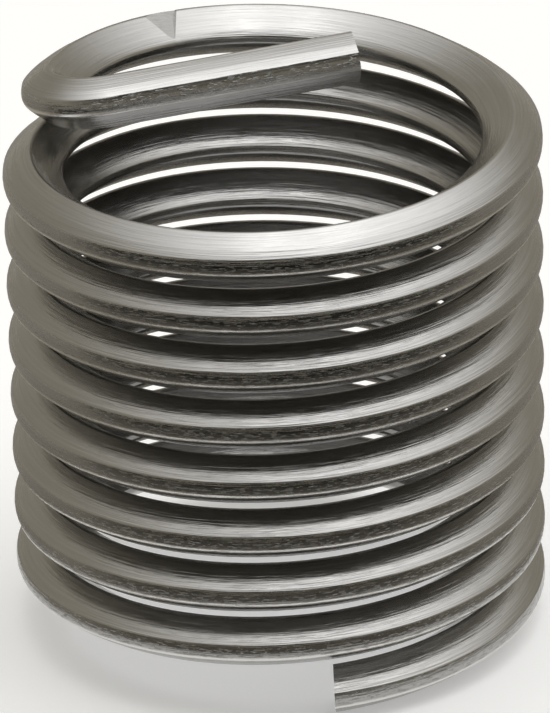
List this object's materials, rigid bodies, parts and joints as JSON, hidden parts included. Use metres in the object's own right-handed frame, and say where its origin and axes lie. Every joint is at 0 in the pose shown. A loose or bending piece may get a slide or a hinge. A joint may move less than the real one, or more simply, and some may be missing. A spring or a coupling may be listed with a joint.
{
  "type": "helical thread insert",
  "caption": "Helical coil of diamond-section wire with a bent driving tang, which lines a tapped hole with a stronger screw thread.",
  "frame": {"origin": "on the coil axis, level with the lowest point of the plain end", "axes": "+Z along the coil axis towards the tang end, the end that goes into the tapped hole first; -Y is the side where the plain end of the wire starts and the crest of the tang faces"},
  "size_m": [0.0152, 0.0152, 0.0173],
  "materials": {
    "wire": "drawn stainless wire, satin, with bright rubbed crests"
  },
  "bodies": {
    "root": {"wire_coil": "wire"}
  },
  "joints": []
}
